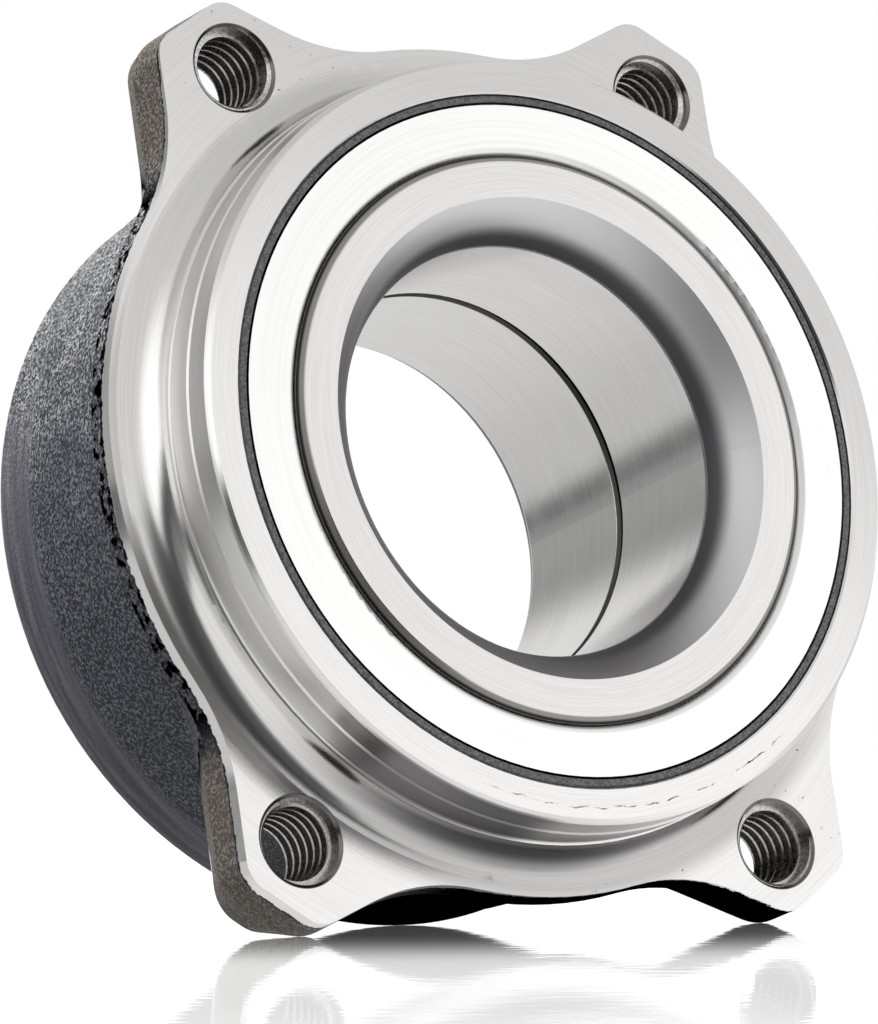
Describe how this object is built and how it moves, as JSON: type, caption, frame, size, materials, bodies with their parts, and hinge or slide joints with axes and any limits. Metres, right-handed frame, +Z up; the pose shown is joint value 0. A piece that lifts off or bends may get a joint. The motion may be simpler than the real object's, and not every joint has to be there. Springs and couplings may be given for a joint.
{
  "type": "wheel hub bearing",
  "caption": "Double-row ball bearing for a wheel hub, whose outer ring has a flange with threaded ears for the steering knuckle and a split inner ring for the hub.",
  "frame": {"origin": "on the bearing axis, in the plane of the flange's mounting face", "axes": "+Y along the bearing axis, from the knuckle (inboard) side to the wheel (outboard) side; the flange's mounting face looks along -Y; +Z up, between the two ears that stand closer together"},
  "size_m": [0.1, 0.0478, 0.1082],
  "materials": {
    "forged_steel": "as forged, dark, with machined faces",
    "ground_steel": "ground",
    "polished_steel": "polished",
    "pressed_steel": "matte",
    "spring_steel": "satin",
    "ball_steel": "mirror",
    "seal_rubber": "matte",
    "cage_polyamide": "satin"
  },
  "bodies": {
    "outer_ring": {"outer_ring_flange": "forged_steel", "seal_case_inboard": "pressed_steel", "seal_lip_inboard": "seal_rubber", "seal_case_outboard": "pressed_steel", "seal_lip_outboard": "seal_rubber"},
    "inner_rings": {"inner_ring_clip": "spring_steel", "inner_ring_inboard": "ground_steel", "seal_slinger_inboard": "polished_steel", "inner_ring_outboard": "ground_steel", "seal_slinger_outboard": "polished_steel"},
    "cage_inboard": {"ball_cage_inboard": "cage_polyamide"},
    "ball_inboard_01": {"ball_inboard_01": "ball_steel"},
    "ball_inboard_02": {"ball_inboard_02": "ball_steel"},
    "ball_inboard_03": {"ball_inboard_03": "ball_steel"},
    "ball_inboard_04": {"ball_inboard_04": "ball_steel"},
    "ball_inboard_05": {"ball_inboard_05": "ball_steel"},
    "ball_inboard_06": {"ball_inboard_06": "ball_steel"},
    "ball_inboard_07": {"ball_inboard_07": "ball_steel"},
    "ball_inboard_08": {"ball_inboard_08": "ball_steel"},
    "ball_inboard_09": {"ball_inboard_09": "ball_steel"},
    "ball_inboard_10": {"ball_inboard_10": "ball_steel"},
    "ball_inboard_11": {"ball_inboard_11": "ball_steel"},
    "ball_inboard_12": {"ball_inboard_12": "ball_steel"},
    "ball_inboard_13": {"ball_inboard_13": "ball_steel"},
    "ball_inboard_14": {"ball_inboard_14": "ball_steel"},
    "ball_inboard_15": {"ball_inboard_15": "ball_steel"},
    "ball_inboard_16": {"ball_inboard_16": "ball_steel"},
    "cage_outboard": {"ball_cage_outboard": "cage_polyamide"},
    "ball_outboard_01": {"ball_outboard_01": "ball_steel"},
    "ball_outboard_02": {"ball_outboard_02": "ball_steel"},
    "ball_outboard_03": {"ball_outboard_03": "ball_steel"},
    "ball_outboard_04": {"ball_outboard_04": "ball_steel"},
    "ball_outboard_05": {"ball_outboard_05": "ball_steel"},
    "ball_outboard_06": {"ball_outboard_06": "ball_steel"},
    "ball_outboard_07": {"ball_outboard_07": "ball_steel"},
    "ball_outboard_08": {"ball_outboard_08": "ball_steel"},
    "ball_outboard_09": {"ball_outboard_09": "ball_steel"},
    "ball_outboard_10": {"ball_outboard_10": "ball_steel"},
    "ball_outboard_11": {"ball_outboard_11": "ball_steel"},
    "ball_outboard_12": {"ball_outboard_12": "ball_steel"},
    "ball_outboard_13": {"ball_outboard_13": "ball_steel"},
    "ball_outboard_14": {"ball_outboard_14": "ball_steel"},
    "ball_outboard_15": {"ball_outboard_15": "ball_steel"},
    "ball_outboard_16": {"ball_outboard_16": "ball_steel"}
  },
  "joints": [
    {"name": "inner_ring_spin", "type": "hinge", "parent": "outer_ring", "child": "inner_rings", "pos_m": [0, 0, 0], "axis": [0, 1, 0], "continuous": true},
    {"name": "cage_inboard_spin", "type": "hinge", "parent": "outer_ring", "child": "cage_inboard", "pos_m": [0, 0, 0], "axis": [0, 1, 0], "continuous": true},
    {"name": "ball_inboard_01_roll", "type": "hinge", "parent": "cage_inboard", "child": "ball_inboard_01", "pos_m": [0.00702, 0.0026, 0.03531], "axis": [-0.1119, 0.8192, -0.5626], "continuous": true},
    {"name": "ball_inboard_02_roll", "type": "hinge", "parent": "cage_inboard", "child": "ball_inboard_02", "pos_m": [0.02, 0.0026, 0.02993], "axis": [-0.3187, 0.8192, -0.4769], "continuous": true},
    {"name": "ball_inboard_03_roll", "type": "hinge", "parent": "cage_inboard", "child": "ball_inboard_03", "pos_m": [0.02993, 0.0026, 0.02], "axis": [-0.4769, 0.8192, -0.3187], "continuous": true},
    {"name": "ball_inboard_04_roll", "type": "hinge", "parent": "cage_inboard", "child": "ball_inboard_04", "pos_m": [0.03531, 0.0026, 0.00702], "axis": [-0.5626, 0.8192, -0.1119], "continuous": true},
    {"name": "ball_inboard_05_roll", "type": "hinge", "parent": "cage_inboard", "child": "ball_inboard_05", "pos_m": [0.03531, 0.0026, -0.00702], "axis": [-0.5626, 0.8192, 0.1119], "continuous": true},
    {"name": "ball_inboard_06_roll", "type": "hinge", "parent": "cage_inboard", "child": "ball_inboard_06", "pos_m": [0.02993, 0.0026, -0.02], "axis": [-0.4769, 0.8192, 0.3187], "continuous": true},
    {"name": "ball_inboard_07_roll", "type": "hinge", "parent": "cage_inboard", "child": "ball_inboard_07", "pos_m": [0.02, 0.0026, -0.02993], "axis": [-0.3187, 0.8192, 0.4769], "continuous": true},
    {"name": "ball_inboard_08_roll", "type": "hinge", "parent": "cage_inboard", "child": "ball_inboard_08", "pos_m": [0.00702, 0.0026, -0.03531], "axis": [-0.1119, 0.8192, 0.5626], "continuous": true},
    {"name": "ball_inboard_09_roll", "type": "hinge", "parent": "cage_inboard", "child": "ball_inboard_09", "pos_m": [-0.00702, 0.0026, -0.03531], "axis": [0.1119, 0.8192, 0.5626], "continuous": true},
    {"name": "ball_inboard_10_roll", "type": "hinge", "parent": "cage_inboard", "child": "ball_inboard_10", "pos_m": [-0.02, 0.0026, -0.02993], "axis": [0.3187, 0.8192, 0.4769], "continuous": true},
    {"name": "ball_inboard_11_roll", "type": "hinge", "parent": "cage_inboard", "child": "ball_inboard_11", "pos_m": [-0.02993, 0.0026, -0.02], "axis": [0.4769, 0.8192, 0.3187], "continuous": true},
    {"name": "ball_inboard_12_roll", "type": "hinge", "parent": "cage_inboard", "child": "ball_inboard_12", "pos_m": [-0.03531, 0.0026, -0.00702], "axis": [0.5626, 0.8192, 0.1119], "continuous": true},
    {"name": "ball_inboard_13_roll", "type": "hinge", "parent": "cage_inboard", "child": "ball_inboard_13", "pos_m": [-0.03531, 0.0026, 0.00702], "axis": [0.5626, 0.8192, -0.1119], "continuous": true},
    {"name": "ball_inboard_14_roll", "type": "hinge", "parent": "cage_inboard", "child": "ball_inboard_14", "pos_m": [-0.02993, 0.0026, 0.02], "axis": [0.4769, 0.8192, -0.3187], "continuous": true},
    {"name": "ball_inboard_15_roll", "type": "hinge", "parent": "cage_inboard", "child": "ball_inboard_15", "pos_m": [-0.02, 0.0026, 0.02993], "axis": [0.3187, 0.8192, -0.4769], "continuous": true},
    {"name": "ball_inboard_16_roll", "type": "hinge", "parent": "cage_inboard", "child": "ball_inboard_16", "pos_m": [-0.00702, 0.0026, 0.03531], "axis": [0.1119, 0.8192, -0.5626], "continuous": true},
    {"name": "cage_outboard_spin", "type": "hinge", "parent": "outer_ring", "child": "cage_outboard", "pos_m": [0, 0, 0], "axis": [0, 1, 0], "continuous": true},
    {"name": "ball_outboard_01_roll", "type": "hinge", "parent": "cage_outboard", "child": "ball_outboard_01", "pos_m": [0.00702, 0.0202, 0.03531], "axis": [0.1119, 0.8192, 0.5626], "continuous": true},
    {"name": "ball_outboard_02_roll", "type": "hinge", "parent": "cage_outboard", "child": "ball_outboard_02", "pos_m": [0.02, 0.0202, 0.02993], "axis": [0.3187, 0.8192, 0.4769], "continuous": true},
    {"name": "ball_outboard_03_roll", "type": "hinge", "parent": "cage_outboard", "child": "ball_outboard_03", "pos_m": [0.02993, 0.0202, 0.02], "axis": [0.4769, 0.8192, 0.3187], "continuous": true},
    {"name": "ball_outboard_04_roll", "type": "hinge", "parent": "cage_outboard", "child": "ball_outboard_04", "pos_m": [0.03531, 0.0202, 0.00702], "axis": [0.5626, 0.8192, 0.1119], "continuous": true},
    {"name": "ball_outboard_05_roll", "type": "hinge", "parent": "cage_outboard", "child": "ball_outboard_05", "pos_m": [0.03531, 0.0202, -0.00702], "axis": [0.5626, 0.8192, -0.1119], "continuous": true},
    {"name": "ball_outboard_06_roll", "type": "hinge", "parent": "cage_outboard", "child": "ball_outboard_06", "pos_m": [0.02993, 0.0202, -0.02], "axis": [0.4769, 0.8192, -0.3187], "continuous": true},
    {"name": "ball_outboard_07_roll", "type": "hinge", "parent": "cage_outboard", "child": "ball_outboard_07", "pos_m": [0.02, 0.0202, -0.02993], "axis": [0.3187, 0.8192, -0.4769], "continuous": true},
    {"name": "ball_outboard_08_roll", "type": "hinge", "parent": "cage_outboard", "child": "ball_outboard_08", "pos_m": [0.00702, 0.0202, -0.03531], "axis": [0.1119, 0.8192, -0.5626], "continuous": true},
    {"name": "ball_outboard_09_roll", "type": "hinge", "parent": "cage_outboard", "child": "ball_outboard_09", "pos_m": [-0.00702, 0.0202, -0.03531], "axis": [-0.1119, 0.8192, -0.5626], "continuous": true},
    {"name": "ball_outboard_10_roll", "type": "hinge", "parent": "cage_outboard", "child": "ball_outboard_10", "pos_m": [-0.02, 0.0202, -0.02993], "axis": [-0.3187, 0.8192, -0.4769], "continuous": true},
    {"name": "ball_outboard_11_roll", "type": "hinge", "parent": "cage_outboard", "child": "ball_outboard_11", "pos_m": [-0.02993, 0.0202, -0.02], "axis": [-0.4769, 0.8192, -0.3187], "continuous": true},
    {"name": "ball_outboard_12_roll", "type": "hinge", "parent": "cage_outboard", "child": "ball_outboard_12", "pos_m": [-0.03531, 0.0202, -0.00702], "axis": [-0.5626, 0.8192, -0.1119], "continuous": true},
    {"name": "ball_outboard_13_roll", "type": "hinge", "parent": "cage_outboard", "child": "ball_outboard_13", "pos_m": [-0.03531, 0.0202, 0.00702], "axis": [-0.5626, 0.8192, 0.1119], "continuous": true},
    {"name": "ball_outboard_14_roll", "type": "hinge", "parent": "cage_outboard", "child": "ball_outboard_14", "pos_m": [-0.02993, 0.0202, 0.02], "axis": [-0.4769, 0.8192, 0.3187], "continuous": true},
    {"name": "ball_outboard_15_roll", "type": "hinge", "parent": "cage_outboard", "child": "ball_outboard_15", "pos_m": [-0.02, 0.0202, 0.02993], "axis": [-0.3187, 0.8192, 0.4769], "continuous": true},
    {"name": "ball_outboard_16_roll", "type": "hinge", "parent": "cage_outboard", "child": "ball_outboard_16", "pos_m": [-0.00702, 0.0202, 0.03531], "axis": [-0.1119, 0.8192, 0.5626], "continuous": true}
  ],
  "couplings": [
    {"joint": "cage_inboard_spin", "follows": "inner_ring_spin", "ratio": 0.43174},
    {"joint": "ball_inboard_01_roll", "follows": "inner_ring_spin", "ratio": -2.9441},
    {"joint": "ball_inboard_02_roll", "follows": "inner_ring_spin", "ratio": -2.9441},
    {"joint": "ball_inboard_03_roll", "follows": "inner_ring_spin", "ratio": -2.9441},
    {"joint": "ball_inboard_04_roll", "follows": "inner_ring_spin", "ratio": -2.9441},
    {"joint": "ball_inboard_05_roll", "follows": "inner_ring_spin", "ratio": -2.9441},
    {"joint": "ball_inboard_06_roll", "follows": "inner_ring_spin", "ratio": -2.9441},
    {"joint": "ball_inboard_07_roll", "follows": "inner_ring_spin", "ratio": -2.9441},
    {"joint": "ball_inboard_08_roll", "follows": "inner_ring_spin", "ratio": -2.9441},
    {"joint": "ball_inboard_09_roll", "follows": "inner_ring_spin", "ratio": -2.9441},
    {"joint": "ball_inboard_10_roll", "follows": "inner_ring_spin", "ratio": -2.9441},
    {"joint": "ball_inboard_11_roll", "follows": "inner_ring_spin", "ratio": -2.9441},
    {"joint": "ball_inboard_12_roll", "follows": "inner_ring_spin", "ratio": -2.9441},
    {"joint": "ball_inboard_13_roll", "follows": "inner_ring_spin", "ratio": -2.9441},
    {"joint": "ball_inboard_14_roll", "follows": "inner_ring_spin", "ratio": -2.9441},
    {"joint": "ball_inboard_15_roll", "follows": "inner_ring_spin", "ratio": -2.9441},
    {"joint": "ball_inboard_16_roll", "follows": "inner_ring_spin", "ratio": -2.9441},
    {"joint": "cage_outboard_spin", "follows": "inner_ring_spin", "ratio": 0.43174},
    {"joint": "ball_outboard_01_roll", "follows": "inner_ring_spin", "ratio": -2.9441},
    {"joint": "ball_outboard_02_roll", "follows": "inner_ring_spin", "ratio": -2.9441},
    {"joint": "ball_outboard_03_roll", "follows": "inner_ring_spin", "ratio": -2.9441},
    {"joint": "ball_outboard_04_roll", "follows": "inner_ring_spin", "ratio": -2.9441},
    {"joint": "ball_outboard_05_roll", "follows": "inner_ring_spin", "ratio": -2.9441},
    {"joint": "ball_outboard_06_roll", "follows": "inner_ring_spin", "ratio": -2.9441},
    {"joint": "ball_outboard_07_roll", "follows": "inner_ring_spin", "ratio": -2.9441},
    {"joint": "ball_outboard_08_roll", "follows": "inner_ring_spin", "ratio": -2.9441},
    {"joint": "ball_outboard_09_roll", "follows": "inner_ring_spin", "ratio": -2.9441},
    {"joint": "ball_outboard_10_roll", "follows": "inner_ring_spin", "ratio": -2.9441},
    {"joint": "ball_outboard_11_roll", "follows": "inner_ring_spin", "ratio": -2.9441},
    {"joint": "ball_outboard_12_roll", "follows": "inner_ring_spin", "ratio": -2.9441},
    {"joint": "ball_outboard_13_roll", "follows": "inner_ring_spin", "ratio": -2.9441},
    {"joint": "ball_outboard_14_roll", "follows": "inner_ring_spin", "ratio": -2.9441},
    {"joint": "ball_outboard_15_roll", "follows": "inner_ring_spin", "ratio": -2.9441},
    {"joint": "ball_outboard_16_roll", "follows": "inner_ring_spin", "ratio": -2.9441}
  ]
}
